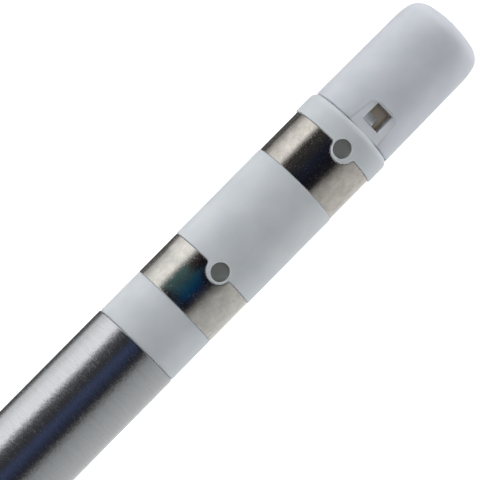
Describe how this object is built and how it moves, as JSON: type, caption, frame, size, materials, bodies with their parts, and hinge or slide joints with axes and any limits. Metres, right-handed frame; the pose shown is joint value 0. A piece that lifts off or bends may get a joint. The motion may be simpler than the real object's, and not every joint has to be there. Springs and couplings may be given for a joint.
{
  "type": "soldering cartridge",
  "caption": "Pen-like soldering cartridge: long metal tube, plated bit with its heater inside, and a pale moulded connector with ring contacts and a closed clip-on cap.",
  "frame": {"origin": "on the cartridge's axis, at the rear end of the shaft tube, where the tube meets the moulded connector", "axes": "+X along the axis towards the closed cap, -X towards the bit, +Z through the line of mould dimples on the connector"},
  "size_m": [0.1504, 0.0056, 0.0056],
  "materials": {
    "stainless_tube": "turned and brushed round the tube",
    "front_ring_metal": "satin, drawn",
    "rear_ring_metal": "satin, drawn",
    "connector_plastic": "moulded, satin",
    "cap_plastic": "moulded, satin",
    "plated_bit": "iron plated copper, satin",
    "resistance_wire": "drawn wire, oxidised",
    "nickel_wire": "drawn nickel wire",
    "alumina": null,
    "ceramic_cement": "ceramic cement, rough",
    "glass_sleeving": "braided glass sleeving",
    "solder": "tin solder"
  },
  "bodies": {
    "root": {"shaft_tube": "stainless_tube", "front_contact_ring": "front_ring_metal", "rear_contact_ring": "rear_ring_metal", "connector_body": "connector_plastic", "end_cap": "cap_plastic", "bit": "plated_bit", "heater_lead": "nickel_wire", "sensor_lead": "nickel_wire", "heater_coil": "resistance_wire", "heater_lead_sleeve": "glass_sleeving", "sensor_lead_sleeve": "glass_sleeving", "front_ring_joint": "solder", "rear_ring_joint": "solder", "coil_former": "alumina", "lead_insulator": "alumina", "heater_liner": "alumina", "rear_cement": "ceramic_cement", "front_cement": "ceramic_cement", "coil_weld": "resistance_wire", "sensor_junction": "resistance_wire"}
  },
  "joints": []
}
